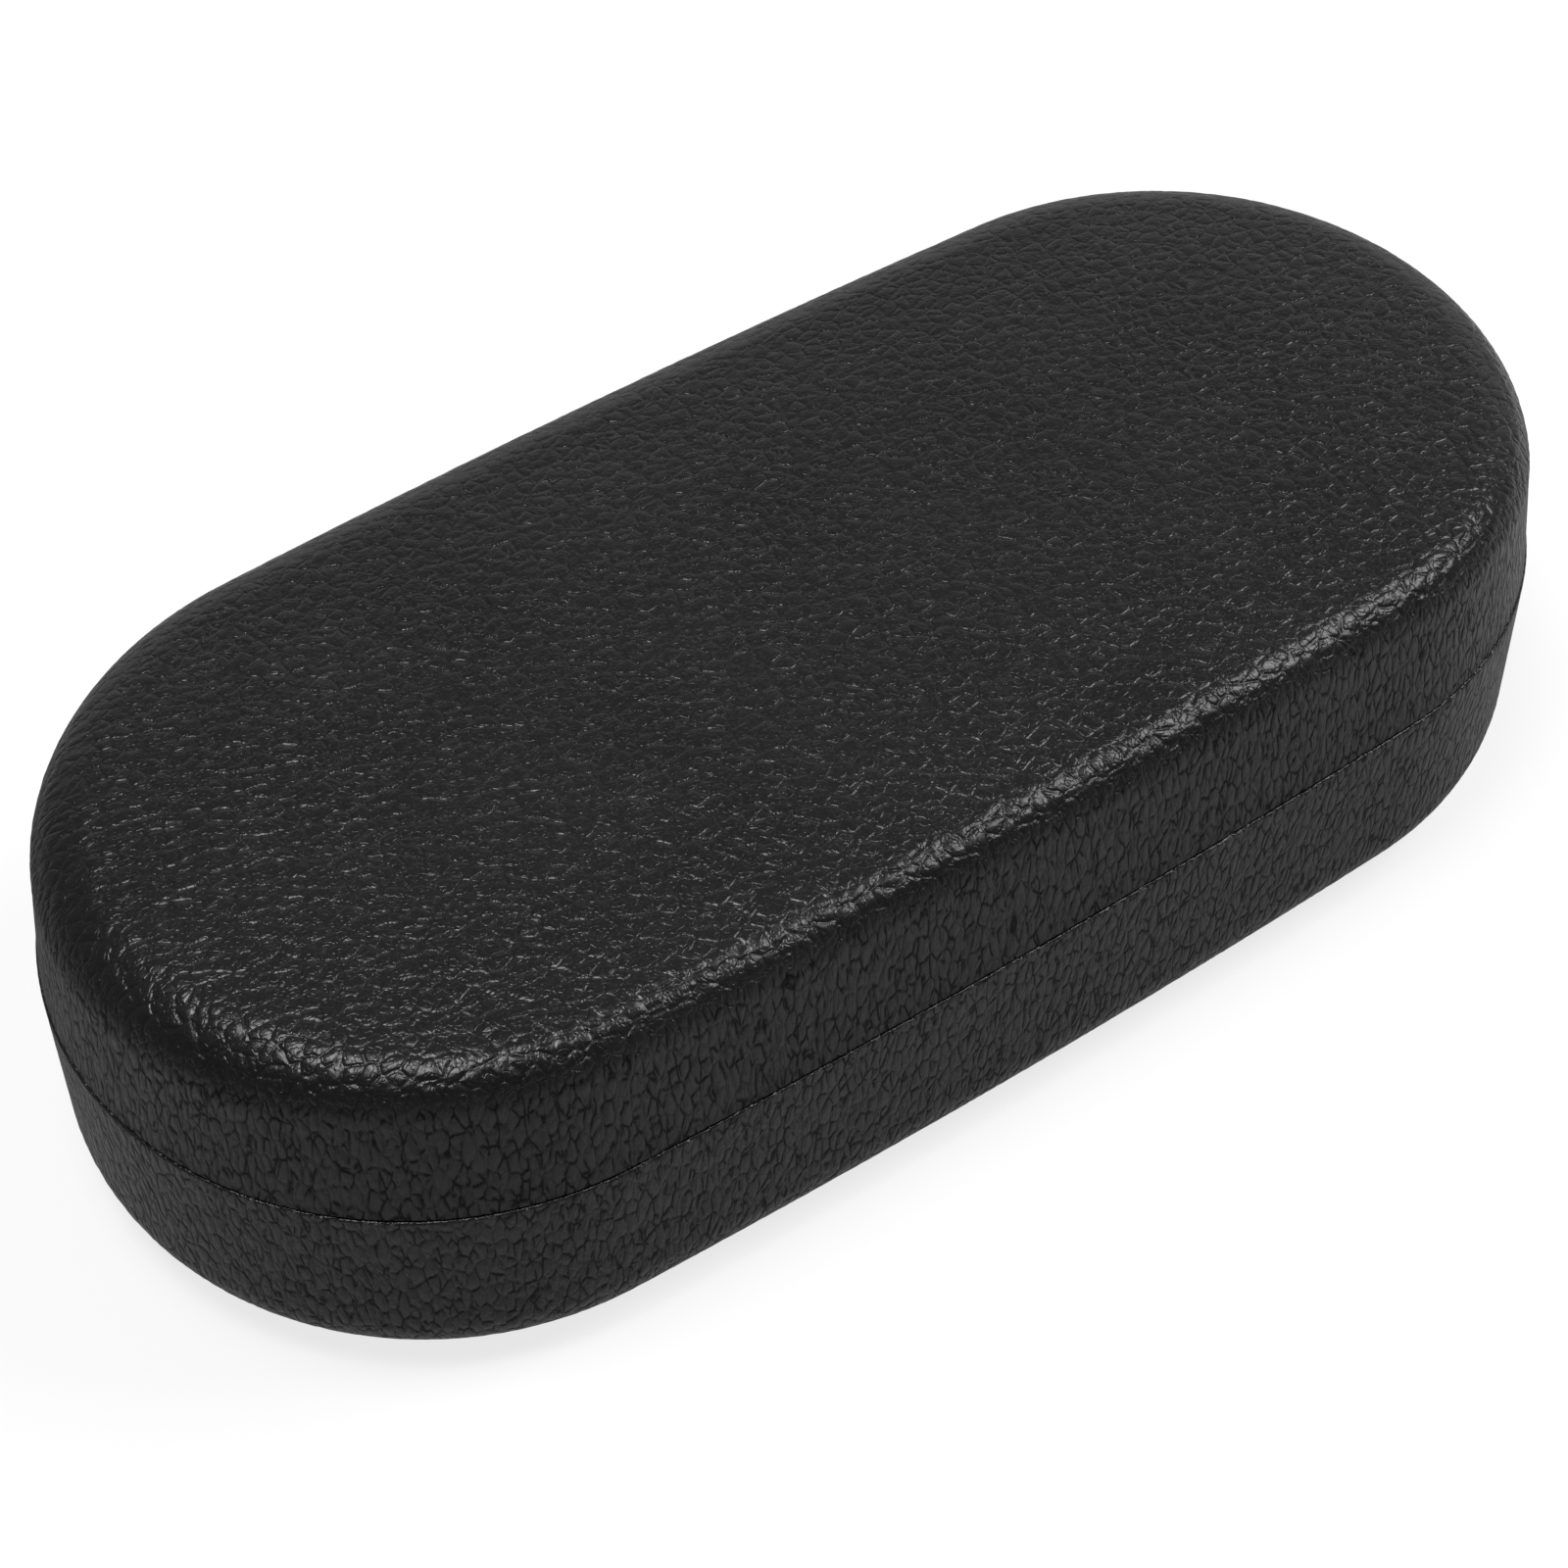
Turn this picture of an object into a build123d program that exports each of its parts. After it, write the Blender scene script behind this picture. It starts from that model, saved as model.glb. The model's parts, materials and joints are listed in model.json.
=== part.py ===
"""Hard clamshell eyeglasses case: two drawn steel shells, covered and lined, on a sprung hinge.

Frame: the case lies closed on its base. +X runs along its length, the lid opens at the front, on
the -Y side, the hinge is along the back, on the +Y side, and +Z is up. The origin is the centre of
the flat underside. Each half is drawn floor down with its rim on z = 0, then put in place; the lid
is the same drawing turned over.
"""
from build123d import *
from dataclasses import dataclass
from math import atan2, cos, radians, sin
import os

# Whole case
LENGTH = 165.0
WIDTH = 77.0
HEIGHT = 41.2
PARTING_HEIGHT = 24.4
RIM_GAP = 0.3
END_RADIUS = 37.6

# Layers of the wall, counted from the outside in, with a film of glue between them
GLUE = 0.05
COVER_THICKNESS = 0.9
SHELL_THICKNESS = 0.4
BACKING_THICKNESS = 0.6
LINING_THICKNESS = 0.7
FLOOR_FOAM_THICKNESS = 2.0
TURN_IN_DEPTH = 6.0
RIM_ROUNDING = 0.6
LINING_BELOW_RIM = 0.6

# Hinge
HINGE_WIDTH = 60.0
KNUCKLE_COUNT = 5
KNUCKLE_GAP = 0.2
KNUCKLE_RADIUS = 1.9
PIN_RADIUS = 1.0
PIN_CLEARANCE = 0.05
PIN_HEAD_RADIUS = 1.6
PIN_HEAD_LENGTH = 0.8
AXIS_BEHIND_WALL = 0.3
LEAF_HEIGHT = 9.0
RIVET_DEPTH = 6.0
RIVET_PLACES = (-24.0, -8.0, 8.0, 24.0)
RIVET_RADIUS = 0.9
RIVET_HEAD_RADIUS = 1.6
RIVET_HEAD_THICKNESS = 0.45
SPRING_PLACES = (-16.0, 16.0)
SPRING_WIDTH = 10.0
SPRING_THICKNESS = 0.35
SPRING_REACH = 7.2

# Strips that close the hinge outside and inside
STRIP_THICKNESS = 0.6
STRIP_HALF_WIDTH = 32.0
STRIP_HEIGHT = 9.5
STRIP_CLEARANCE = 0.2

# Worked out from the sizes above
END_CENTRE = LENGTH / 2 - END_RADIUS
SIDE_RADIUS = (END_CENTRE**2 + (WIDTH / 2) ** 2 - END_RADIUS**2) / (WIDTH - 2 * END_RADIUS)
ARC_JOIN_ANGLE = atan2(END_CENTRE, SIDE_RADIUS - WIDTH / 2)
SHELL_INSET = COVER_THICKNESS + GLUE
BACKING_INSET = SHELL_INSET + SHELL_THICKNESS + GLUE
LINING_INSET = BACKING_INSET + BACKING_THICKNESS + GLUE
INSIDE_INSET = LINING_INSET + LINING_THICKNESS
LINING_FLOOR_INSET = BACKING_INSET + FLOOR_FOAM_THICKNESS + GLUE
INSIDE_FLOOR_INSET = LINING_FLOOR_INSET + LINING_THICKNESS
AXIS_Y = WIDTH / 2 - AXIS_BEHIND_WALL
AXIS_Z = RIM_GAP / 2
STRIP_INNER_RADIUS = KNUCKLE_RADIUS + 0.1
STRIP_OUTER_RADIUS = STRIP_INNER_RADIUS + STRIP_THICKNESS
HINGE_CUT_RADIUS = STRIP_OUTER_RADIUS + 0.1
FAR = 2 * LENGTH


@dataclass(frozen=True)
class Half:
    """One half of the case: its outside depth below the rim, wall draft and floor rounding."""

    name: str
    depth: float
    draft: float
    rounding: float
    turned_over: bool


BASE = Half("base", PARTING_HEIGHT - RIM_GAP / 2, 1.2, 7.5, False)
LID = Half("lid", HEIGHT - PARTING_HEIGHT - RIM_GAP / 2, 5.5, 6.5, True)


def oval(inset):
    """Plan outline of the rim, four tangent arcs, moved inward by the inset."""
    half_length = LENGTH / 2 - inset
    half_width = WIDTH / 2 - inset
    join_x = END_CENTRE + (END_RADIUS - inset) * sin(ARC_JOIN_ANGLE)
    join_y = (END_RADIUS - inset) * cos(ARC_JOIN_ANGLE)
    arcs = [
        ThreePointArc((-join_x, join_y), (0, half_width), (join_x, join_y)),
        ThreePointArc((join_x, join_y), (half_length, 0), (join_x, -join_y)),
        ThreePointArc((join_x, -join_y), (0, -half_width), (-join_x, -join_y)),
        ThreePointArc((-join_x, -join_y), (-half_length, 0), (-join_x, join_y)),
    ]
    return Face(Wire(arcs))


def bowl(half, side_inset, end_inset):
    """Solid of a half out to one layer of its wall, rim on z = 0 and floor down."""
    depth = half.depth - end_inset
    body = extrude(oval(side_inset), amount=depth, dir=(0, 0, -1), taper=half.draft)
    floor = body.faces().sort_by(Axis.Z)[0]
    return fillet(floor.edges(), half.rounding - side_inset)


def slab(top, bottom, half_width=FAR, front=-FAR):
    """Block between two heights, full size unless its width or its front is given."""
    size_y = FAR - front
    middle = Pos(0, front + size_y / 2, (top + bottom) / 2)
    return middle * Box(2 * half_width, size_y, top - bottom)


def hinge_cut(half_width=STRIP_HALF_WIDTH):
    """Room for the hinge barrel and the strip round it, cut from both rims."""
    return Pos(0, AXIS_Y, AXIS_Z) * Rot(0, 90, 0) * Cylinder(HINGE_CUT_RADIUS, 2 * half_width)


def placed(half, shape):
    """A half's piece moved from its own drawing to the case."""
    if half.turned_over:
        return Pos(0, 0, PARTING_HEIGHT + RIM_GAP / 2) * mirror(shape, about=Plane.XY)
    return Pos(0, 0, PARTING_HEIGHT - RIM_GAP / 2) * shape


def cover(half):
    """Leather skin, turned over the rim and down inside the shell, notched for the hinge strip."""
    outside = bowl(half, 0, 0)
    rim = outside.faces().sort_by(Axis.Z)[-1]
    outside = fillet(rim.edges(), RIM_ROUNDING)
    core = bowl(half, COVER_THICKNESS, COVER_THICKNESS) & slab(-COVER_THICKNESS, -FAR)
    mouth = bowl(half, BACKING_INSET + BACKING_THICKNESS, BACKING_INSET)
    skin = outside - core - mouth
    turn_in = bowl(half, BACKING_INSET, COVER_THICKNESS) - mouth
    turn_in = turn_in & slab(-COVER_THICKNESS, -TURN_IN_DEPTH)
    notch = slab(FAR, -STRIP_HEIGHT - STRIP_CLEARANCE, STRIP_HALF_WIDTH + STRIP_CLEARANCE, 0)
    return skin + turn_in - notch


def shell(half):
    """Drawn steel shell under the skin."""
    end_inset = BACKING_INSET - GLUE
    wall = bowl(half, SHELL_INSET, SHELL_INSET) - bowl(half, end_inset, end_inset)
    wall = wall & slab(-COVER_THICKNESS - GLUE, -FAR)
    shanks = [rivet_bar(x, RIVET_RADIUS) for x in RIVET_PLACES]
    return wall - hinge_cut() - shanks


def foam(half):
    """Foam under the lining: thin up the walls, thick on the floor, open round the hinge leaf."""
    outside = bowl(half, BACKING_INSET, BACKING_INSET)
    inside = bowl(half, BACKING_INSET + BACKING_THICKNESS, BACKING_INSET + FLOOR_FOAM_THICKNESS)
    room = slab(FAR, -LEAF_HEIGHT - GLUE - 1.0, STRIP_HALF_WIDTH, 0)
    return (outside - inside) & slab(-TURN_IN_DEPTH - GLUE, -FAR) - room


def lining(half):
    """Flocked tray that the glasses lie in, notched where the inner strip crosses the hinge."""
    tray = bowl(half, LINING_INSET, LINING_FLOOR_INSET) - bowl(half, INSIDE_INSET, INSIDE_FLOOR_INSET)
    notch = slab(FAR, -STRIP_HEIGHT - STRIP_CLEARANCE, STRIP_HALF_WIDTH, 0)
    return tray & slab(-LINING_BELOW_RIM, -FAR) - notch


def knuckle_spans(half):
    """Start and end along X of each of a half's hinge knuckles; the base has the outer ones."""
    pitch = HINGE_WIDTH / KNUCKLE_COUNT
    first = 1 if half.turned_over else 0
    starts = [-HINGE_WIDTH / 2 + pitch * i for i in range(first, KNUCKLE_COUNT, 2)]
    return [(x + KNUCKLE_GAP / 2, x + pitch - KNUCKLE_GAP / 2) for x in starts]


def barrel(radius, start, end):
    """Round bar on the hinge axis."""
    return Pos((start + end) / 2, AXIS_Y, AXIS_Z) * Rot(0, 90, 0) * Cylinder(radius, end - start)


def rivet_bar(x, radius):
    """Bar through the back wall at a rivet."""
    return Pos(x, WIDTH / 2, -RIVET_DEPTH) * Rot(90, 0, 0) * Cylinder(radius, WIDTH / 4)


def hinge_leaf(half):
    """Stamped leaf inside the back wall, with knuckles rolled round the pin."""
    outside = bowl(half, BACKING_INSET, BACKING_INSET)
    leaf_inset = BACKING_INSET + BACKING_THICKNESS
    layer = outside - bowl(half, leaf_inset, leaf_inset)
    half_width = HINGE_WIDTH / 2 - KNUCKLE_GAP / 2
    plate = layer & slab(-HINGE_CUT_RADIUS, -LEAF_HEIGHT, half_width, 0)
    neck_height = HINGE_CUT_RADIUS + BACKING_THICKNESS
    neck_y = AXIS_Y - KNUCKLE_RADIUS + BACKING_THICKNESS / 2
    for start, end in knuckle_spans(half):
        neck = Box(end - start, BACKING_THICKNESS, neck_height)
        neck = Pos((start + end) / 2, neck_y, -neck_height / 2) * neck
        plate = plate + (neck & outside) + barrel(KNUCKLE_RADIUS, start, end)
    plate = plate - barrel(PIN_RADIUS + PIN_CLEARANCE, -FAR, FAR)
    for x in RIVET_PLACES:
        plate = plate - rivet_bar(x, RIVET_RADIUS)
    return plate


def rivets(half):
    """Flush rivets through shell and leaf, with their heads on the inside."""
    leaf_inset = BACKING_INSET + BACKING_THICKNESS
    head_inset = leaf_inset + RIVET_HEAD_THICKNESS
    outside = bowl(half, SHELL_INSET, SHELL_INSET)
    leaf_inside = bowl(half, leaf_inset, leaf_inset)
    head_inside = bowl(half, head_inset, head_inset)
    made = []
    for x in RIVET_PLACES:
        shank = rivet_bar(x, RIVET_RADIUS) & (outside - leaf_inside)
        head = rivet_bar(x, RIVET_HEAD_RADIUS) & (leaf_inside - head_inside)
        made.append(shank + head)
    return Compound(made)


def hinge_pin():
    """Steel pin through the knuckles, peened at both ends."""
    half_width = HINGE_WIDTH / 2
    pin = barrel(PIN_RADIUS, -half_width, half_width)
    pin = pin + barrel(PIN_HEAD_RADIUS, half_width, half_width + PIN_HEAD_LENGTH)
    pin = pin + barrel(PIN_HEAD_RADIUS, -half_width - PIN_HEAD_LENGTH, -half_width)
    return Pos(0, 0, PARTING_HEIGHT - RIM_GAP / 2) * pin


def bent_band(low, middle, high, thickness, width):
    """Band of even thickness bent to an arc through three points of the YZ plane."""
    arc = ThreePointArc((low[0], low[1]), (middle[0], middle[1]), (high[0], high[1]))
    inner = arc.offset_2d(thickness, side=Side.BOTH, closed=True)
    section = Plane.YZ * Face(Wire(inner))
    return extrude(section, amount=width / 2, both=True)


def snap_spring(x):
    """Flat bow spring bridging both leaves inside the barrel: it pulls the lid shut or open."""
    low = (AXIS_Y - 2.35, PARTING_HEIGHT - SPRING_REACH)
    middle = (AXIS_Y - 3.6, PARTING_HEIGHT)
    high = (AXIS_Y - 2.7, PARTING_HEIGHT + SPRING_REACH)
    return Pos(x, 0, 0) * bent_band(low, middle, high, SPRING_THICKNESS / 2, SPRING_WIDTH)


def hinge_lining_strip():
    """Fabric strip over leaves, rivets and springs on the inside."""
    low = (AXIS_Y - 2.9, PARTING_HEIGHT - STRIP_HEIGHT + STRIP_THICKNESS / 2)
    middle = (AXIS_Y - 4.2, PARTING_HEIGHT)
    high = (AXIS_Y - 3.35, PARTING_HEIGHT + STRIP_HEIGHT - STRIP_THICKNESS / 2)
    width = 2 * (STRIP_HALF_WIDTH - STRIP_CLEARANCE)
    return bent_band(low, middle, high, STRIP_THICKNESS / 2, width)


def hinge_cover_strip():
    """Leather strip over the hinge outside: laid in the skin's notch, bowed out round the barrel."""
    wrap = 105
    outer = CenterArc((0, 0), STRIP_OUTER_RADIUS, -wrap, 2 * wrap)
    inner = CenterArc((0, 0), STRIP_INNER_RADIUS, -wrap, 2 * wrap)
    ends = [Line(outer @ 0, inner @ 0), Line(outer @ 1, inner @ 1)]
    section = Plane.YZ * Face(Wire([outer, inner] + ends))
    strip = extrude(section, amount=STRIP_HALF_WIDTH, both=True)
    strip = Pos(0, AXIS_Y, PARTING_HEIGHT) * strip
    for half in (BASE, LID):
        outer_inset = COVER_THICKNESS - STRIP_THICKNESS
        flat = bowl(half, outer_inset, outer_inset) - bowl(half, COVER_THICKNESS, COVER_THICKNESS)
        flat = flat & slab(-STRIP_INNER_RADIUS, -STRIP_HEIGHT, STRIP_HALF_WIDTH, 0)
        strip = strip + placed(half, flat)
    return strip


def write(node, shape):
    """Save one piece under its node's name."""
    export_step(shape, os.path.join("parts", node + ".step"))


os.makedirs("parts", exist_ok=True)
for half in (BASE, LID):
    write(half.name + "_cover", placed(half, cover(half)))
    write(half.name + "_shell", placed(half, shell(half)))
    write(half.name + "_foam", placed(half, foam(half)))
    write(half.name + "_lining", placed(half, lining(half)))
    write("hinge_leaf_" + half.name, placed(half, hinge_leaf(half)))
    write("hinge_rivets_" + half.name, placed(half, rivets(half)))
write("hinge_pin", hinge_pin())
for side, x in zip(("left", "right"), SPRING_PLACES):
    write("snap_spring_" + side, snap_spring(x))
write("hinge_lining_strip", hinge_lining_strip())
write("hinge_cover_strip", hinge_cover_strip())
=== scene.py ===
import json
import math

import bmesh
import bpy
import numpy as np
from mathutils import Matrix, Vector


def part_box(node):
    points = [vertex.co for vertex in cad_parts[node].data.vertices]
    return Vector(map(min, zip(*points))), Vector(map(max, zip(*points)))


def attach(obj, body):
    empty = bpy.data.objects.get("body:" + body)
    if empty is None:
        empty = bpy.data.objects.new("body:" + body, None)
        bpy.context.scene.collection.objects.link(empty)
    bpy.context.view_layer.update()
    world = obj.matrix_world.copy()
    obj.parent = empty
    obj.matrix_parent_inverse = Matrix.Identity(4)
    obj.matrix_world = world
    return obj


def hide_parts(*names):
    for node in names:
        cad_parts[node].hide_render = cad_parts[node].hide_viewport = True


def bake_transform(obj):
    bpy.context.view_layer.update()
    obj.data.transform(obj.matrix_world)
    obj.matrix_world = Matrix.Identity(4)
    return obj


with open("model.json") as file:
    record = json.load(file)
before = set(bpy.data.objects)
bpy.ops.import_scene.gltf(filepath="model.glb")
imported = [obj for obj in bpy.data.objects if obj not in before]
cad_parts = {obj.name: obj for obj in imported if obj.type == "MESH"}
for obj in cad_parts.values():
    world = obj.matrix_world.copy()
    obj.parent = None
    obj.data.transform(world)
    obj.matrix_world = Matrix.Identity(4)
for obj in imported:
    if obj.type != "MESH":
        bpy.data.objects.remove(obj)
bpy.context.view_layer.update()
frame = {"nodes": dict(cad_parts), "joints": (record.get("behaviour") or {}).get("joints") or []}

# The case's own lengths are in millimetres, and times MM they are in metres. The camera, the lights
# and the floor are in metres.
MM = 0.001

# Places taken from the frame
HALF_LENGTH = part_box("base_cover")[1].x / MM
HALF_WIDTH = -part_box("base_cover")[0].y / MM
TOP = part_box("lid_cover")[1].z / MM
BASE_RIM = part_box("base_cover")[1].z / MM
LID_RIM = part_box("lid_cover")[0].z / MM
HINGE = [value / MM for value in frame["joints"][0]["pos_m"]]
STRIP_LOW, STRIP_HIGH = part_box("hinge_cover_strip")
PIN_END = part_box("hinge_pin")[1].x / MM

# Outline: four tangent arcs, as in the CAD
END_RADIUS = 37.6
END_CENTRE = HALF_LENGTH - END_RADIUS
SIDE_RADIUS = (END_CENTRE**2 + HALF_WIDTH**2 - END_RADIUS**2) / (2 * (HALF_WIDTH - END_RADIUS))
JOIN_ANGLE = math.atan2(END_CENTRE, SIDE_RADIUS - HALF_WIDTH)

# Layers of the wall, counted inward from the outline
COVER = 0.9
TURN_IN_OUT = 1.4
TURN_IN = 2.0
LINING_OUT = 2.05
LINING_IN = 2.75
FOAM_OUT = 1.4
FOAM_IN = 2.0

# Layers of the floor, counted inward from its outside
FOAM_FLOOR = 3.4
LINING_FLOOR_OUT = 3.45
LINING_FLOOR_IN = 4.15

# Depths below the rim
TURN_IN_DEPTH = 6.0
LINING_BELOW_RIM = 0.6

# Notch in the back wall that the hinge strip is let into
NOTCH_HALF_WIDTH = STRIP_HIGH.x / MM + 0.2
NOTCH_DEPTH = 9.7

# How far in from its edge the outside of a floor swells
CROWN_REACH = 22.0

# How far each rim is moved towards the other, to close the gap between the halves to a line
RIM_CLOSER = 0.11

# Distances between points round the outline
GRAIN_STEP = 0.5
PLAIN_STEP = 1.1
FOAM_STEP = 2.0

# Grain: the size of one pebble along X, Y and Z, and how high and deep it is
LEVEL_PEBBLE = (1.85, 1.5, 2.2)
WALL_PEBBLE = (0.98, 0.95, 2.6)
DOME_HEIGHT = 0.045
CREASE_DEPTH = 0.08


class Half:
    """One half of the case: where its rim is, which way it is deep, and its wall.

    The draft is how far the wall leans in for each millimetre of depth. A rounding is how far it
    reaches up the wall and how far in over the floor. The crown is how much the outside of the floor
    swells from its edge to its middle, and proud is how far the outside of the wall stands out beyond
    the other half's.
    """

    def __init__(self, name, rim, floor, draft, front_rounding, back_rounding, crown, proud):
        self.name = name
        self.rim = rim
        self.down = math.copysign(1, floor - rim)
        self.depth = abs(floor - rim)
        self.draft = draft
        self.front_rounding = front_rounding
        self.back_rounding = back_rounding
        self.crown = crown
        self.proud = proud


BASE = Half("base", rim=BASE_RIM + RIM_CLOSER, floor=0.0, draft=0.0205,
            front_rounding=(8.1, 6.8), back_rounding=(8.1, 6.8), crown=0.0, proud=0.2)
LID = Half("lid", rim=LID_RIM - RIM_CLOSER, floor=TOP, draft=0.095,
           front_rounding=(4.3, 4.3), back_rounding=(6.0, 6.6), crown=1.0, proud=0.0)


# ---------------------------------------------------------------- camera, light and floor

def make_camera():
    """Camera at the photograph's height, angle and distance."""
    azimuth = math.radians(-35.04)
    elevation = math.radians(47.77)
    roll = math.radians(-0.35)
    distance = 0.3884
    focal_share = 2.447
    target = Vector((0, 0, 0.020))
    back = Vector((math.sin(azimuth) * math.cos(elevation),
                   -math.cos(azimuth) * math.cos(elevation),
                   math.sin(elevation)))
    right = Vector((math.cos(azimuth), math.sin(azimuth), 0))
    up = back.cross(right)
    rolled_right = math.cos(roll) * right + math.sin(roll) * up
    rolled_up = math.cos(roll) * up - math.sin(roll) * right
    data = bpy.data.cameras.new("camera")
    data.sensor_width = 36
    data.lens = focal_share * data.sensor_width
    data.shift_x = -0.0197
    data.shift_y = -0.0359
    data.clip_start = 0.01
    camera = bpy.data.objects.new("camera", data)
    turn = Matrix((rolled_right, rolled_up, back)).transposed()
    camera.matrix_world = Matrix.Translation(target + back * distance) @ turn.to_4x4()
    bpy.context.scene.collection.objects.link(camera)
    bpy.context.scene.camera = camera


def area_light(name, place, aim, width, depth, watts):
    """Soft box at a place, turned to face a point."""
    data = bpy.data.lights.new(name, "AREA")
    data.shape = "RECTANGLE"
    data.size = width
    data.size_y = depth
    data.energy = watts
    light = bpy.data.objects.new(name, data)
    toward = Vector(aim) - Vector(place)
    light.matrix_world = Matrix.Translation(place) @ toward.to_track_quat("-Z", "Y").to_matrix().to_4x4()
    bpy.context.scene.collection.objects.link(light)


def make_light():
    """A soft box to the right and one overhead, in surroundings that are brighter behind the case."""
    world = bpy.data.worlds.new("studio")
    world.use_nodes = True
    nodes = Nodes(world.node_tree)
    direction = nodes.add("ShaderNodeTexCoord").outputs["Generated"]
    front_left = (-0.61, -0.79, 0.0)
    forward = nodes.add("ShaderNodeVectorMath", {0: direction, 1: front_left}, operation="DOT_PRODUCT")
    forward = forward.outputs["Value"]
    all_round = nodes.ramp(forward, -0.2, 0.8, 0.37, 0.20)
    low_behind = nodes.ramp(forward, -0.85, -0.60, 0.55, 0.0)
    background = world.node_tree.nodes["Background"]
    background.inputs["Color"].default_value = (1, 1, 1, 1)
    nodes.feed(background.inputs["Strength"], nodes.math("ADD", all_round, low_behind))
    bpy.context.scene.world = world
    middle = (0, 0, 0.03)
    side = 0.36
    area_light("key", (0.55, -0.25, 0.80), middle, side, side, 9)
    area_light("overhead", (-0.20, 0.02, 1.0), middle, side, side, 12)


def make_floor():
    """Pale floor, lit through from below like a light table.

    It lights the case less from close by and from behind. Seen directly it is evenly lit.
    """
    mesh = bpy.data.meshes.new("floor")
    reach = 3.0
    corners = [(-reach, -reach, 0), (reach, -reach, 0), (reach, reach, 0), (-reach, reach, 0)]
    mesh.from_pydata(corners, [], [(0, 1, 2, 3)])
    floor = bpy.data.objects.new("floor", mesh)
    floor.location.z = -0.0002
    bpy.context.scene.collection.objects.link(floor)
    material = bpy.data.materials.new("floor")
    material.use_nodes = True
    surface = material.node_tree.nodes["Principled BSDF"]
    surface.inputs["Base Color"].default_value = (0.12, 0.12, 0.12, 1)
    surface.inputs["Roughness"].default_value = 0.9
    surface.inputs["Specular IOR Level"].default_value = 0.1
    surface.inputs["Emission Color"].default_value = (1, 1, 1, 1)
    nodes = Nodes(material.node_tree)
    place = nodes.add("ShaderNodeNewGeometry").outputs["Position"]
    place = nodes.add("ShaderNodeSeparateXYZ", {"Vector": place}).outputs
    past_centre = nodes.math("SUBTRACT", nodes.math("ABSOLUTE", place["X"]), END_CENTRE * MM)
    past_centre = nodes.math("MAXIMUM", past_centre, 0.0)
    across = nodes.add("ShaderNodeCombineXYZ", {0: past_centre, 1: place["Y"]}).outputs[0]
    away = nodes.add("ShaderNodeVectorMath", {0: across}, operation="LENGTH").outputs["Value"]
    near_case = nodes.ramp(away, HALF_WIDTH * MM, 0.095, 0.44, 0.80)
    behind = nodes.ramp(place["Y"], 0.0, 0.06, 1.0, 0.25)
    shaded = nodes.math("MULTIPLY", near_case, behind)
    seen = nodes.add("ShaderNodeLightPath").outputs["Is Camera Ray"]
    evenly = nodes.math("MULTIPLY", seen, 0.78)
    nodes.feed(surface.inputs["Emission Strength"], nodes.math("MAXIMUM", shaded, evenly))
    mesh.materials.append(material)


# ---------------------------------------------------------------- node helpers

class Nodes:
    """Short calls for building a shader or geometry node tree."""

    def __init__(self, tree):
        self.tree = tree

    def add(self, kind, inputs=None, **settings):
        node = self.tree.nodes.new(kind)
        for name, value in settings.items():
            setattr(node, name, value)
        for name, value in (inputs or {}).items():
            self.feed(node.inputs[name], value)
        return node

    def feed(self, socket, value):
        if isinstance(value, bpy.types.NodeSocket):
            self.tree.links.new(value, socket)
        else:
            socket.default_value = value

    def math(self, operation, *values):
        node = self.add("ShaderNodeMath", dict(enumerate(values)), operation=operation)
        return node.outputs[0]

    def vector(self, operation, a, b):
        return self.add("ShaderNodeVectorMath", {0: a, 1: b}, operation=operation).outputs[0]

    def ramp(self, value, low, high, to_low=0.0, to_high=1.0):
        """Smooth step from to_low to to_high as value goes from low to high."""
        inputs = {"Value": value, "From Min": low, "From Max": high, "To Min": to_low, "To Max": to_high}
        node = self.add("ShaderNodeMapRange", inputs, interpolation_type="SMOOTHSTEP")
        return node.outputs["Result"]

    def mix(self, first, second, share):
        """The first value where share is 0, changing to the second where it is 1."""
        difference = self.math("SUBTRACT", second, first)
        return self.math("MULTIPLY_ADD", difference, share, first)

    def shaded(self, colour, shade):
        """A colour made darker or lighter."""
        node = self.add("ShaderNodeVectorMath", {0: colour, "Scale": shade}, operation="SCALE")
        return node.outputs[0]

    def noise(self, place, scale, detail=2.0, roughness=0.5):
        inputs = {"Vector": place, "Scale": scale, "Detail": detail, "Roughness": roughness}
        return self.add("ShaderNodeTexNoise", inputs, noise_dimensions="3D")

    def cells(self, place, scale, feature="DISTANCE_TO_EDGE"):
        inputs = {"Vector": place, "Scale": scale, "Randomness": 1.0}
        node = self.add("ShaderNodeTexVoronoi", inputs, voronoi_dimensions="3D", feature=feature)
        return node.outputs["Distance"]


def warped(nodes, place, scale, reach):
    """The place moved about by noise, so that cells lose their straight borders."""
    noise = nodes.noise(place, scale, 1.0).outputs["Color"]
    centred = nodes.vector("SUBTRACT", noise, (0.5, 0.5, 0.5))
    moved = nodes.vector("MULTIPLY", centred, (reach, reach, reach))
    return nodes.vector("ADD", place, moved)


def pebbles(nodes, place, size):
    """Domed cells of a size in millimetres: how high on a dome the place is, and how deep in a crease."""
    place = nodes.vector("DIVIDE", place, size)
    edge = nodes.cells(warped(nodes, place, 1.1, 0.4), 1.0)
    patches = nodes.noise(place, 1.3, 1.0).outputs["Fac"]
    depth = nodes.ramp(patches, 0.36, 0.60, 0.35, 1.0)
    crease = nodes.math("MULTIPLY", nodes.ramp(edge, 0.0, 0.17, 1.0, 0.0), depth)
    return nodes.ramp(edge, 0.0, 0.5), crease


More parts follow.
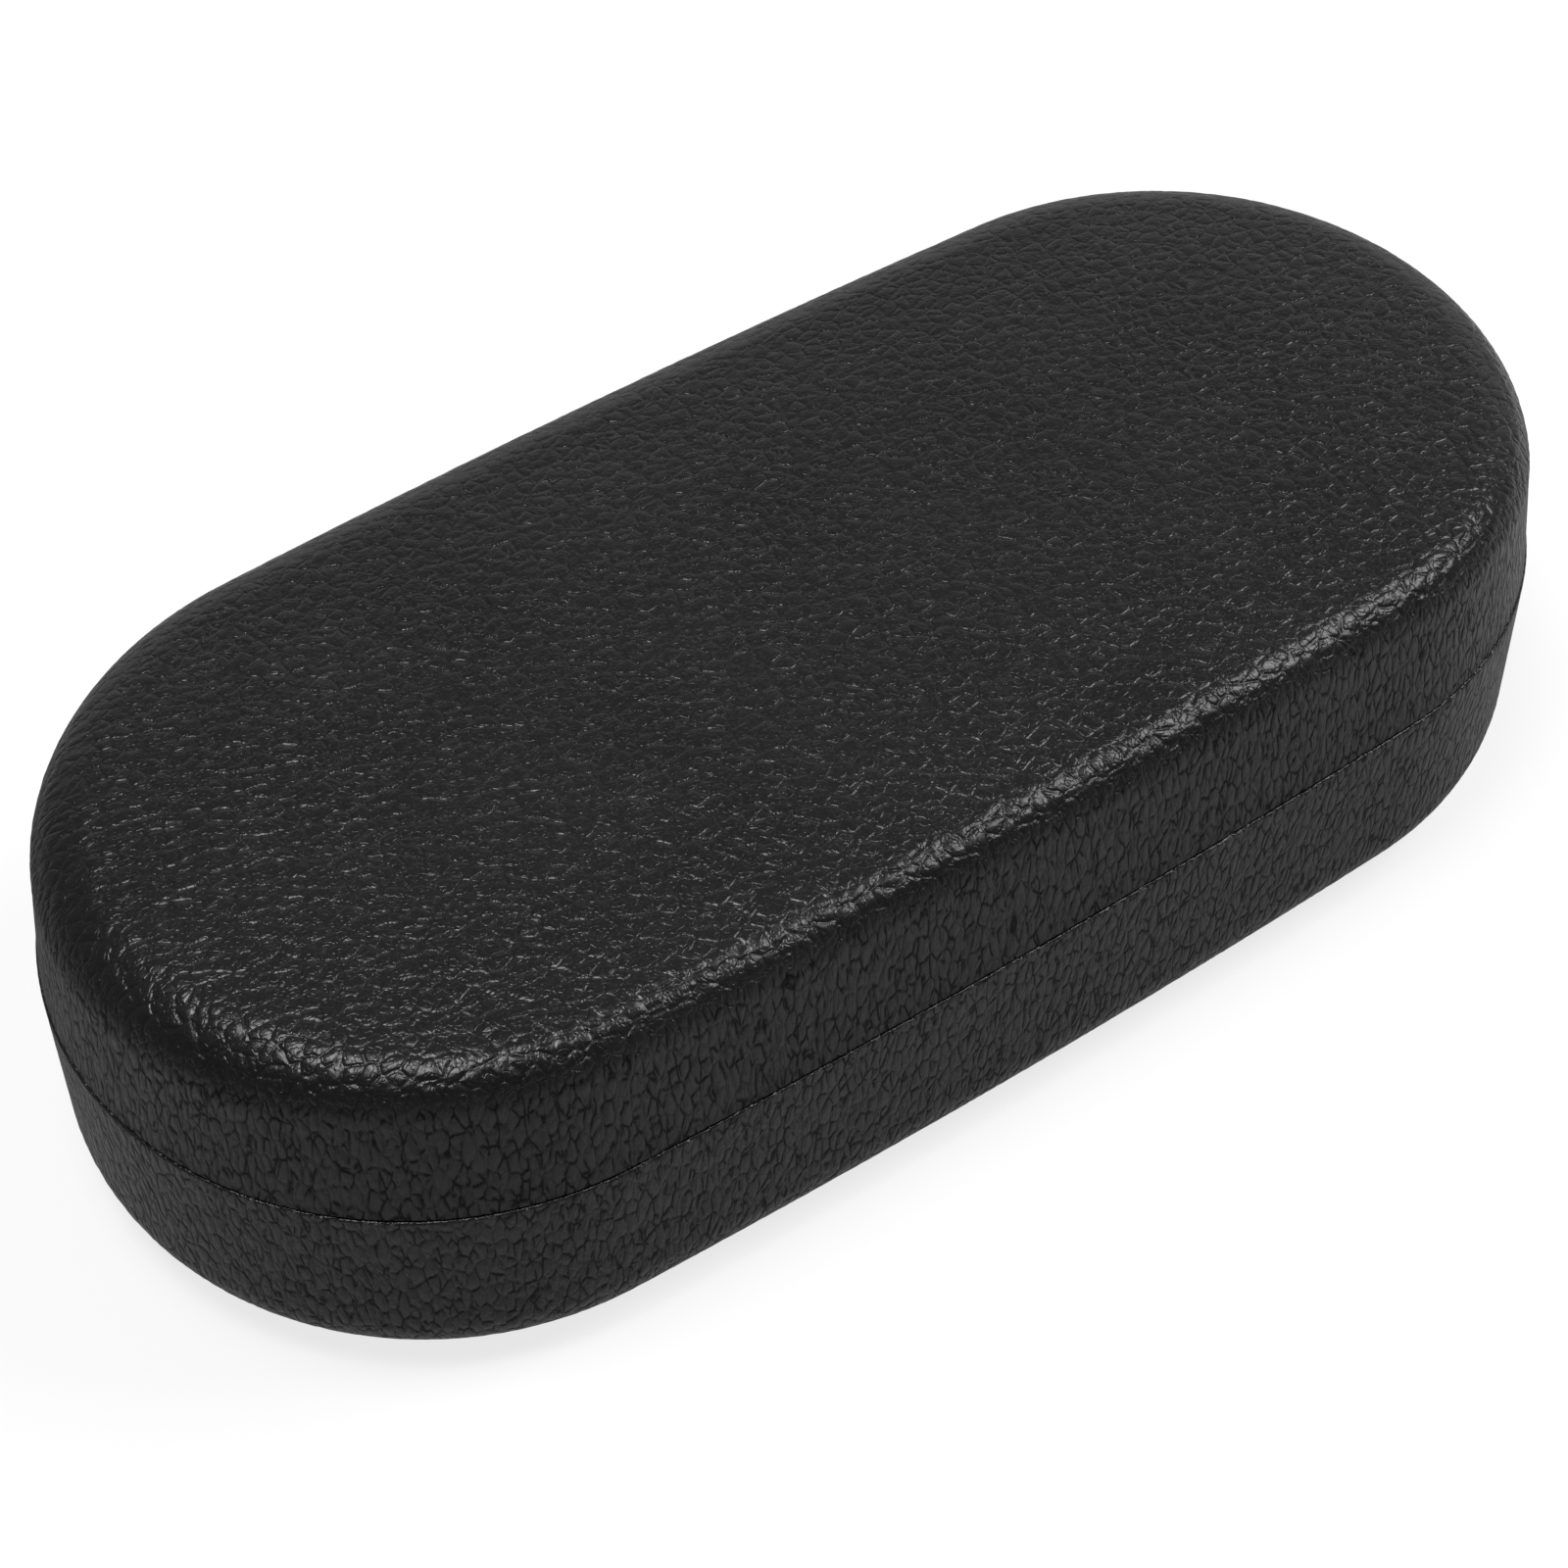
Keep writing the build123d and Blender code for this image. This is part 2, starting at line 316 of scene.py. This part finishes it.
def leather_relief(nodes, place, normal):
    """Height of the grain in millimetres, how deep in a crease the place is, and how steep the face.

    The pebbles are broad on level faces, and narrow and drawn out downward on the walls.
    """
    upright = nodes.add("ShaderNodeSeparateXYZ", {"Vector": normal}).outputs["Z"]
    steep = nodes.ramp(nodes.math("ABSOLUTE", upright), 0.35, 0.85, 1.0, 0.0)
    level_dome, level_crease = pebbles(nodes, place, LEVEL_PEBBLE)
    wall_dome, wall_crease = pebbles(nodes, place, WALL_PEBBLE)
    dome = nodes.mix(level_dome, wall_dome, steep)
    crease = nodes.mix(level_crease, wall_crease, steep)
    dome_height = nodes.math("MULTIPLY", dome, DOME_HEIGHT)
    crease_depth = nodes.math("MULTIPLY", crease, CREASE_DEPTH)
    return nodes.math("SUBTRACT", dome_height, crease_depth), crease, steep


# ---------------------------------------------------------------- materials

def new_material(name):
    """A new material, the helper for its nodes, and its surface shader."""
    material = bpy.data.materials.new(name)
    material.use_nodes = True
    nodes = Nodes(material.node_tree)
    return material, nodes, material.node_tree.nodes["Principled BSDF"]


def bump(nodes, surface, height, distance=MM, strength=1.0):
    """Relief of a height in units of distance."""
    node = nodes.add("ShaderNodeBump", {"Height": height, "Distance": distance, "Strength": strength})
    nodes.feed(surface.inputs["Normal"], node.outputs["Normal"])


def wrinkles(nodes, place, steep):
    """Thin lines that wander across the pebbles, deeper on the walls: 1 on a line, 0 off it."""
    spacing = (0.85, 0.85, 3.0)
    flow = nodes.noise(nodes.vector("DIVIDE", place, spacing), 1.0, 1.0).outputs["Fac"]
    off_line = nodes.math("ABSOLUTE", nodes.math("SUBTRACT", flow, 0.5))
    line = nodes.ramp(off_line, 0.0, 0.08, 1.0, 0.0)
    return nodes.math("MULTIPLY", line, nodes.mix(0.25, 0.5, steep))


def leather():
    """Matte black pebbled imitation leather.

    On the walls the bottoms of creases and wrinkles get painted shade: their colour is made darker and
    they shine less.
    """
    black = (0.0038, 0.0038, 0.0040)
    wrinkle_depth = 0.08
    fine_depth = 0.018
    material, nodes, surface = new_material("black_leather")
    place = nodes.add("ShaderNodeAttribute", attribute_name="grain").outputs["Vector"]
    normal = nodes.add("ShaderNodeTexCoord").outputs["Normal"]
    height, crease, steep = leather_relief(nodes, place, normal)
    wrinkle = wrinkles(nodes, place, steep)
    fine = nodes.noise(place, 3.2, 3.0, 0.6).outputs["Fac"]
    height = nodes.math("MULTIPLY", height, nodes.mix(0.75, 1.9, steep))
    height = nodes.math("SUBTRACT", height, nodes.math("MULTIPLY", wrinkle, wrinkle_depth))
    height = nodes.math("ADD", height, nodes.math("MULTIPLY", fine, fine_depth))
    bump(nodes, surface, height)
    tone = nodes.noise(place, 0.05, 2.0).outputs["Fac"]
    tone = nodes.ramp(tone, 0.3, 0.7, 0.85, 1.15)
    crease = nodes.math("MAXIMUM", crease, nodes.math("MULTIPLY", wrinkle, 0.9))
    # Painted shade: the colour is darkened in the creases and wrinkles on the walls, as if shade fell in
    # them.
    painted_crease_shade = nodes.math("MULTIPLY", nodes.math("POWER", crease, 1.7), nodes.math("MULTIPLY", steep, 0.8))
    unshaded_share = nodes.math("SUBTRACT", 1.0, painted_crease_shade)
    shade = nodes.math("MULTIPLY", tone, unshaded_share)
    nodes.feed(surface.inputs["Base Color"], nodes.shaded(black, shade))
    smooth_roughness = nodes.ramp(fine, 0.3, 0.7, 0.22, 0.32)
    wall_roughness = nodes.math("MULTIPLY", steep, 0.18)
    nodes.feed(surface.inputs["Roughness"], nodes.math("ADD", smooth_roughness, wall_roughness))
    # The painted crease shade also lowers the shine.
    shine = nodes.math("MULTIPLY", unshaded_share, nodes.mix(0.18, 0.21, steep))
    nodes.feed(surface.inputs["Specular IOR Level"], shine)
    return material


def velour(colour):
    """Short-pile flocked lining."""
    material, nodes, surface = new_material("velour")
    place = nodes.add("ShaderNodeTexCoord").outputs["Object"]
    pile = nodes.noise(place, 2600, 3.0, 0.7).outputs["Fac"]
    brushed = nodes.noise(place, 60, 3.0, 0.6).outputs["Fac"]
    bump(nodes, surface, pile, 0.35 * MM, 0.8)
    shade = nodes.ramp(brushed, 0.35, 0.65, 0.75, 1.3)
    speckle = nodes.ramp(pile, 0.3, 0.7, 0.7, 1.25)
    nodes.feed(surface.inputs["Base Color"], nodes.shaded(colour, nodes.math("MULTIPLY", shade, speckle)))
    surface.inputs["Roughness"].default_value = 0.95
    surface.inputs["Specular IOR Level"].default_value = 0.1
    surface.inputs["Sheen Weight"].default_value = 0.5
    surface.inputs["Sheen Roughness"].default_value = 0.4
    surface.inputs["Sheen Tint"].default_value = (0.8, 0.82, 0.9, 1)
    return material


def foam(colour):
    """Pale open-cell foam."""
    material, nodes, surface = new_material("foam")
    place = nodes.add("ShaderNodeTexCoord").outputs["Object"]
    pores = nodes.cells(place, 2200, "F1")
    bump(nodes, surface, pores, 0.3 * MM)
    shade = nodes.ramp(pores, 0.1, 0.8, 1.0, 0.6)
    nodes.feed(surface.inputs["Base Color"], nodes.shaded(colour, shade))
    surface.inputs["Roughness"].default_value = 0.95
    return material


def metal(name, colour, roughness, brushed):
    """Sheet steel with fine drawing lines and a few handling marks.

    brushed is how fast the pattern changes along each axis, so the lines run along the axis where it
    is smallest.
    """
    material, nodes, surface = new_material(name)
    place = nodes.add("ShaderNodeTexCoord").outputs["Object"]
    stretched = nodes.vector("MULTIPLY", place, brushed)
    lines = nodes.noise(stretched, 3000, 3.0, 0.6).outputs["Fac"]
    marks = nodes.noise(place, 180, 4.0, 0.6).outputs["Fac"]
    bump(nodes, surface, lines, 0.02 * MM)
    shade = nodes.ramp(marks, 0.3, 0.7, 0.85, 1.1)
    nodes.feed(surface.inputs["Base Color"], nodes.shaded(colour, shade))
    surface.inputs["Metallic"].default_value = 1.0
    nodes.feed(surface.inputs["Roughness"], nodes.ramp(lines, 0.3, 0.7, roughness, roughness + 0.15))
    return material


# ---------------------------------------------------------------- the outline as columns

def columns(step):
    """Points round the outline: arc centre, radius and direction of each, and where the notch is.

    The front and back arcs are cut at the same places, so that columns face each other across the
    case.
    """
    notch = math.asin(NOTCH_HALF_WIDTH / SIDE_RADIUS)
    quarter = math.pi / 2
    side = [-JOIN_ANGLE, -notch, notch, JOIN_ANGLE]
    side_centre = SIDE_RADIUS - HALF_WIDTH
    right_end = (END_CENTRE, 0, END_RADIUS, -quarter + JOIN_ANGLE, quarter - JOIN_ANGLE)
    left_end = (-END_CENTRE, 0, END_RADIUS, quarter + JOIN_ANGLE, 3 * quarter - JOIN_ANGLE)
    stretches = list(zip(side[:-1], side[1:]))
    back = [(0, -side_centre, SIDE_RADIUS, quarter + a, quarter + b) for a, b in stretches]
    front = [(0, side_centre, SIDE_RADIUS, 3 * quarter + a, 3 * quarter + b) for a, b in stretches]
    rows = []
    starts = []
    for centre_x, centre_y, radius, start, end in [right_end] + back + [left_end] + front:
        starts.append(len(rows))
        count = max(2, round(radius * (end - start) / step))
        for angle in np.linspace(start, end, count, endpoint=False):
            rows.append((centre_x, centre_y, radius, math.cos(angle), math.sin(angle)))
    return np.array(rows), starts[2], starts[3]


def arc_rows(centre, reach, start, end, count):
    """Rows along an elliptical arc of the wall's section, angles in degrees from straight in."""
    angles = np.radians(np.linspace(start, end, count + 1))
    return [(centre[0] + reach[0] * math.cos(a), centre[1] + reach[1] * math.sin(a)) for a in angles]


def line_rows(start, end, count):
    """Rows along a straight stretch of the section, without its first point."""
    share = np.linspace(0, 1, count + 1)[1:]
    return [(start[0] + (end[0] - start[0]) * s, start[1] + (end[1] - start[1]) * s) for s in share]


def bowl_rows(half, rounding, inset, floor_inset, top, counts):
    """Section of one layer's face, from the middle of the floor out and up to a depth below the rim.

    The row nearest the foot of the hinge notch is moved onto it.
    """
    floor_count, arc_count, wall_count = counts
    up, over = rounding
    depth = half.depth - floor_inset
    foot = (inset + half.draft * (depth - up), depth - up)
    rows = [(END_RADIUS, depth)]
    rows += line_rows(rows[0], (foot[0] + over, depth), floor_count)
    rows += arc_rows((foot[0] + over, foot[1]), (-over, up), 90, 0, arc_count)[1:]
    rows += line_rows(foot, (inset + half.draft * top, top), wall_count)
    nearest = min(range(len(rows)), key=lambda i: abs(rows[i][1] - NOTCH_DEPTH))
    rows[nearest] = (rows[nearest][0], NOTCH_DEPTH)
    is_outside = floor_inset == 0
    if is_outside:
        edge = foot[0] + over / 2
        rows = [(x, z + half.crown * swell((x - edge) / CROWN_REACH)) for x, z in rows]
    return rows, nearest


def swell(share):
    """Rises from 0 to 1, steeply at first and level at the end."""
    share = min(max(share, 0.0), 1.0)
    return share * (2 - share)


def smooth(value, low, high):
    """Smooth step from 0 at low to 1 at high."""
    share = np.clip((value - low) / (high - low), 0, 1)
    return share * share * (3 - 2 * share)


def sweep(name, half, front_rows, back_rows, step, relief, notch_rows):
    """Closed mesh of a section carried round the outline, changing from front to back.

    Rows are (inset, depth) from the middle of one floor face round the rim to the middle of the
    other. relief is each row's share of the grain. notch_rows are the two rows that the hinge notch
    joins straight across.
    """
    cols, notch_start, notch_end = columns(step)
    front, back = np.array(front_rows), np.array(back_rows)
    count_c, count_r = len(cols), len(front)
    to_back = smooth(cols[:, 4], -0.98, -0.5)[:, None, None]
    rows = front[None] * (1 - to_back) + back[None] * to_back
    reach = cols[:, 2][:, None] - rows[:, :, 0]
    x = cols[:, 0][:, None] + reach * cols[:, 3][:, None]
    y = cols[:, 1][:, None] + reach * cols[:, 4][:, None]
    z = half.rim + half.down * rows[:, :, 1]
    for floor_middle in (0, -1):
        y[:, floor_middle] = 0
    points = np.stack([x, y, z], -1).reshape(-1, 3)
    index = np.arange(count_c * count_r).reshape(count_c, count_r)
    quads = np.stack([index[:, :-1], np.roll(index, -1, 0)[:, :-1],
                      np.roll(index, -1, 0)[:, 1:], index[:, 1:]], -1)
    first, last = notch_rows
    whole = np.ones((count_c, count_r - 1), bool)
    whole[notch_start:notch_end, first:last] = False
    faces = quads[whole].tolist()
    faces += [[index[c, first], index[c + 1, first], index[c + 1, last], index[c, last]]
              for c in range(notch_start, notch_end)]
    faces.append(list(index[notch_start, first:last + 1][::-1]))
    faces.append(list(index[notch_end, first:last + 1]))
    mesh = bpy.data.meshes.new(name)
    mesh.from_pydata((points * MM).tolist(), [], faces)
    set_relief(mesh, np.tile(relief, count_c))
    tidy(mesh)
    return linked(name, mesh)


def linked(name, mesh):
    """An object for a mesh, in the scene."""
    piece = bpy.data.objects.new(name, mesh)
    bpy.context.scene.collection.objects.link(piece)
    return piece


def tidy(mesh, distance=0.09 * MM):
    """Joins the points that meet, drops unused ones and turns every face outward."""
    work = bmesh.new()
    work.from_mesh(mesh)
    loose = [v for v in work.verts if not v.link_faces]
    bmesh.ops.delete(work, geom=loose, context="VERTS")
    bmesh.ops.remove_doubles(work, verts=work.verts, dist=distance)
    bmesh.ops.recalc_face_normals(work, faces=work.faces)
    work.to_mesh(mesh)
    work.free()
    mesh.polygons.foreach_set("use_smooth", np.ones(len(mesh.polygons), bool))
    mesh.update()


def set_relief(mesh, shares):
    """Stores each point's share of the grain's depth."""
    relief = mesh.attributes.new("relief", "FLOAT", "POINT")
    relief.data.foreach_set("value", shares.astype(np.float32))


def set_grain(mesh):
    """Stores where the grain is read, in millimetres, so that it stays put when a piece bends."""
    places = np.zeros(len(mesh.vertices) * 3, np.float32)
    mesh.vertices.foreach_get("co", places)
    grain = mesh.attributes.new("grain", "FLOAT_VECTOR", "POINT")
    grain.data.foreach_set("vector", places / MM)


def emboss(piece, share):
    """Presses a share of the grain's depth into the mesh, with the same pebbles as the material's."""
    tree = bpy.data.node_groups.new("emboss", "GeometryNodeTree")
    tree.interface.new_socket("Geometry", in_out="INPUT", socket_type="NodeSocketGeometry")
    tree.interface.new_socket("Geometry", in_out="OUTPUT", socket_type="NodeSocketGeometry")
    nodes = Nodes(tree)
    start = nodes.add("NodeGroupInput")
    end = nodes.add("NodeGroupOutput")
    place = nodes.add("GeometryNodeInputNamedAttribute", {"Name": "grain"}, data_type="FLOAT_VECTOR")
    relief = nodes.add("GeometryNodeInputNamedAttribute", {"Name": "relief"}, data_type="FLOAT")
    normal = nodes.add("GeometryNodeInputNormal").outputs["Normal"]
    height = leather_relief(nodes, place.outputs["Attribute"], normal)[0]
    lift = nodes.math("MULTIPLY", height, share * MM)
    lift = nodes.math("MULTIPLY", lift, relief.outputs["Attribute"])
    offset = nodes.add("ShaderNodeVectorMath", {0: normal, "Scale": lift}, operation="SCALE").outputs[0]
    moved = nodes.add("GeometryNodeSetPosition", {"Geometry": start.outputs[0], "Offset": offset})
    nodes.feed(end.inputs[0], moved.outputs["Geometry"])
    modifier = piece.modifiers.new("emboss", "NODES")
    modifier.node_group = tree
    depsgraph = bpy.context.evaluated_depsgraph_get()
    pressed = bpy.data.meshes.new_from_object(piece.evaluated_get(depsgraph), depsgraph=depsgraph)
    piece.modifiers.clear()
    piece.data = pressed


# ---------------------------------------------------------------- pieces

def tighter(rounding, cut):
    """The rounding of a face that lies inside another one."""
    return [reach - cut for reach in rounding]


def cover_piece(half, material):
    """Leather skin, turned over the rim: outside face, rounded rim, turn-in and hidden back."""
    outer_round = 0.25
    inner_round = 0.25
    wall_relief = 0.4
    counts = (54, 24, 24)
    front = bowl_rows(half, half.front_rounding, -half.proud, 0, outer_round, counts)[0]
    outside, first = bowl_rows(half, half.back_rounding, -half.proud, 0, outer_round, counts)
    rim = arc_rows((outer_round - half.proud, outer_round), (-outer_round, -outer_round), 0, 90, 4)[1:]
    rim += line_rows(rim[-1], (TURN_IN - inner_round, 0), 3)
    rim += arc_rows((TURN_IN - inner_round, inner_round), (inner_round, -inner_round), 90, 0, 2)[1:]
    lean = half.draft * TURN_IN_DEPTH
    turn_in = line_rows(rim[-1], (TURN_IN + lean, TURN_IN_DEPTH), 3)
    turn_in += [(TURN_IN_OUT + lean, TURN_IN_DEPTH), (TURN_IN_OUT, COVER), (COVER, COVER)]
    hidden_rounding = tighter(half.back_rounding, COVER)
    hidden, last = bowl_rows(half, hidden_rounding, COVER, COVER, COVER + 1, (5, 5, 7))
    tail = rim + turn_in + hidden[::-1]
    level_count = counts[0] + counts[1]
    wall_count = len(outside) - level_count + len(rim)
    plain_count = len(turn_in) + len(hidden)
    relief = [1.0] * level_count + [wall_relief] * wall_count + [0.0] * plain_count
    notch = (first, len(relief) - 1 - last)
    piece = sweep(half.name + "_leather", half, front + tail, outside + tail, GRAIN_STEP, relief, notch)
    set_grain(piece.data)
    emboss(piece, share=0.5)
    return ready(piece, half, "_cover", material)


def tray_piece(half, material):
    """Flocked tray: inside face, rounded edge and the face against the foam."""
    edge_round = (LINING_IN - LINING_OUT) / 2
    top = LINING_BELOW_RIM + edge_round
    inside_cut = 3.0
    outside_cut = 2.3
    inner_rounding = tighter(half.back_rounding, inside_cut)
    outer_rounding = tighter(half.back_rounding, outside_cut)
    inside, first = bowl_rows(half, inner_rounding, LINING_IN, LINING_FLOOR_IN, top, (18, 8, 12))
    outside, last = bowl_rows(half, outer_rounding, LINING_OUT, LINING_FLOOR_OUT, top, (6, 5, 7))
    middle = (inside[-1][0] + outside[-1][0]) / 2
    edge = arc_rows((middle, top), (edge_round, -edge_round), 0, 180, 8)[1:-1]
    rows = inside + edge + outside[::-1]
    notch = (first, len(rows) - 1 - last)
    piece = sweep(half.name + "_tray", half, rows, rows, PLAIN_STEP, [0.0] * len(rows), notch)
    return ready(piece, half, "_lining", material)


def foam_piece(half, material):
    """Foam under the tray: thin up the walls, thick on the floor."""
    top = TURN_IN_DEPTH + 0.1
    counts = (7, 5, 4)
    inner_rounding = tighter(half.back_rounding, FOAM_IN)
    outer_rounding = tighter(half.back_rounding, FOAM_OUT)
    inside, first = bowl_rows(half, inner_rounding, FOAM_IN, FOAM_FLOOR, top, counts)
    outside, last = bowl_rows(half, outer_rounding, FOAM_OUT, FOAM_OUT, top, counts)
    rows = inside + outside[::-1]
    notch = (first, len(rows) - 1 - last)
    piece = sweep(half.name + "_foam_pad", half, rows, rows, FOAM_STEP, [0.0] * len(rows), notch)
    return ready(piece, half, "_foam", material)


def ready(piece, half, node, material):
    """Gives a piece of one half its material and its body, and hides the CAD node it stands for."""
    piece.data.materials.append(material)
    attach(piece, half.name)
    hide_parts(half.name + node)
    return piece


def wall_y(half, x, inset, depth):
    """Where the back wall's face at an inset is, at x and at a depth below the rim."""
    lean = inset + half.draft * np.maximum(depth, 0)
    return np.sqrt((SIDE_RADIUS - lean) ** 2 - x**2) - (SIDE_RADIUS - HALF_WIDTH)


def slab(name, outer, inner):
    """Closed sheet from its two faces, each a grid of points (columns, rows, 3) in millimetres."""
    cols, rows = outer.shape[:2]
    points = np.concatenate([outer.reshape(-1, 3), inner.reshape(-1, 3)])
    index = np.arange(cols * rows).reshape(cols, rows)
    front = np.stack([index[:-1, :-1], index[1:, :-1], index[1:, 1:], index[:-1, 1:]], -1).reshape(-1, 4)
    back = front[:, ::-1] + cols * rows
    border = list(index[:, 0]) + list(index[-1, 1:]) + list(index[-2::-1, -1]) + list(index[0, -2:0:-1])
    around = border[1:] + border[:1]
    sides = [(b, a, a + cols * rows, b + cols * rows) for a, b in zip(border, around)]
    mesh = bpy.data.meshes.new(name)
    mesh.from_pydata((points * MM).tolist(), [], front.tolist() + back.tolist() + sides)
    tidy(mesh, 0.001 * MM)
    return linked(name, mesh)


def across_hinge(piece, nodes_replaced):
    """Hides the CAD nodes that a piece bridging both halves stands in for, and bakes its placing into its
    mesh.
    """
    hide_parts(*nodes_replaced)
    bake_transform(piece)


def hinge_strip_piece(material):
    """Leather strip let into the back, bowed out over the hinge barrel."""
    thickness = 0.6
    sunk = 0.12
    bulge_reach = 2.65
    bulge_width = 2.4
    edge_round = 0.3
    edge_width = 0.7
    half_width = STRIP_HIGH.x / MM
    half_height = (STRIP_HIGH.z - STRIP_LOW.z) / 2 / MM
    x = np.linspace(-half_width, half_width, 129)[:, None]
    height = np.linspace(-half_height, half_height, 49)[None, :]
    depth = np.maximum(np.abs(height) - (LID_RIM - BASE_RIM) / 2, 0)
    wall = np.where(height < 0, wall_y(BASE, x, sunk, depth), wall_y(LID, x, sunk, depth))
    crown = (HINGE[1] + bulge_reach - wall) * smooth(half_width - np.abs(x), 0, half_width - PIN_END)
    outer_y = wall + crown * np.exp(-((height / bulge_width) ** 2))
    inner_y = outer_y - thickness
    to_edge = np.minimum(half_width - np.abs(x), half_height - np.abs(height))
    outer_y = outer_y - edge_round * np.clip(1 - to_edge / edge_width, 0, 1) ** 2
    grid_x = np.broadcast_to(x, outer_y.shape)
    grid_z = np.broadcast_to(HINGE[2] + height, outer_y.shape)
    outer = np.stack([grid_x, outer_y, grid_z], -1)
    inner = np.stack([grid_x, inner_y, grid_z], -1)
    piece = slab("hinge_leather_strip", outer, inner)
    set_relief(piece.data, np.ones(len(piece.data.vertices)))
    set_grain(piece.data)
    emboss(piece, share=0.3)
    piece.data.materials.append(material)
    across_hinge(piece, ["hinge_cover_strip"])
    return piece


def bent_band(name, low, middle, high, thickness, x_low, x_high, x_count):
    """Even band bent to the parabola through three (y, z) places, z counted from the hinge."""
    rows = np.linspace(low[1], high[1], 41)
    y = np.polyval(np.polyfit([low[1], middle[1], high[1]], [low[0], middle[0], high[0]], 2), rows)
    x = np.linspace(x_low, x_high, x_count)[:, None]
    grid_x = np.broadcast_to(x, (x_count, len(rows)))
    grid_z = np.broadcast_to(HINGE[2] + rows[None, :], grid_x.shape)
    faces = []
    for side in (0.5, -0.5):
        grid_y = np.broadcast_to(HINGE[1] + y[None, :] + side * thickness, grid_x.shape)
        faces.append(np.stack([grid_x, grid_y, grid_z], -1))
    return slab(name, faces[0], faces[1])


def lining_strip_piece(material):
    """Fabric strip over the hinge on the inside."""
    half_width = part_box("hinge_lining_strip")[1].x / MM
    piece = bent_band("hinge_fabric_strip", low=(-2.9, -9.3), middle=(-4.2, 0), high=(-3.35, 9.3),
                      thickness=0.55, x_low=-half_width, x_high=half_width, x_count=81)
    piece.data.materials.append(material)
    across_hinge(piece, ["hinge_lining_strip"])
    return piece


def spring_piece(side, material):
    """Flat bow spring."""
    node = "snap_spring_" + side
    low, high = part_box(node)
    piece = bent_band("bow_spring_" + side, low=(-2.35, -7.2), middle=(-3.6, 0), high=(-2.7, 7.2),
                      thickness=0.35, x_low=low.x / MM, x_high=high.x / MM, x_count=13)
    piece.data.materials.append(material)
    across_hinge(piece, [node])
    return piece


def finish_cad_nodes(materials):
    """Gives each CAD node that stays its material."""
    for name, material in materials.items():
        node = frame["nodes"][name]
        if not node.data.materials:
            node.data.materials.append(material)
        for place in node.material_slots:
            place.material = material


bpy.context.scene.view_settings.view_transform = "Standard"
make_camera()
make_light()
make_floor()

black_leather = leather()
flock = velour((0.035, 0.035, 0.038))
steel = metal("drawn_steel", (0.42, 0.43, 0.45), 0.35, (1, 1, 0.1))
plated = metal("plated_steel", (0.62, 0.62, 0.6), 0.22, (0.1, 1, 1))
spring_steel = metal("spring_steel", (0.3, 0.32, 0.36), 0.25, (0.1, 1, 1))
pale_foam = foam((0.62, 0.6, 0.55))

for half in (BASE, LID):
    cover_piece(half, black_leather)
    tray_piece(half, flock)
    foam_piece(half, pale_foam)
hinge_strip_piece(black_leather)
lining_strip_piece(flock)
for side in ("left", "right"):
    spring_piece(side, spring_steel)
finish_cad_nodes({
    "base_shell": steel,
    "lid_shell": steel,
    "hinge_leaf_base": plated,
    "hinge_leaf_lid": plated,
    "hinge_rivets_base": plated,
    "hinge_rivets_lid": plated,
    "hinge_pin": plated,
})
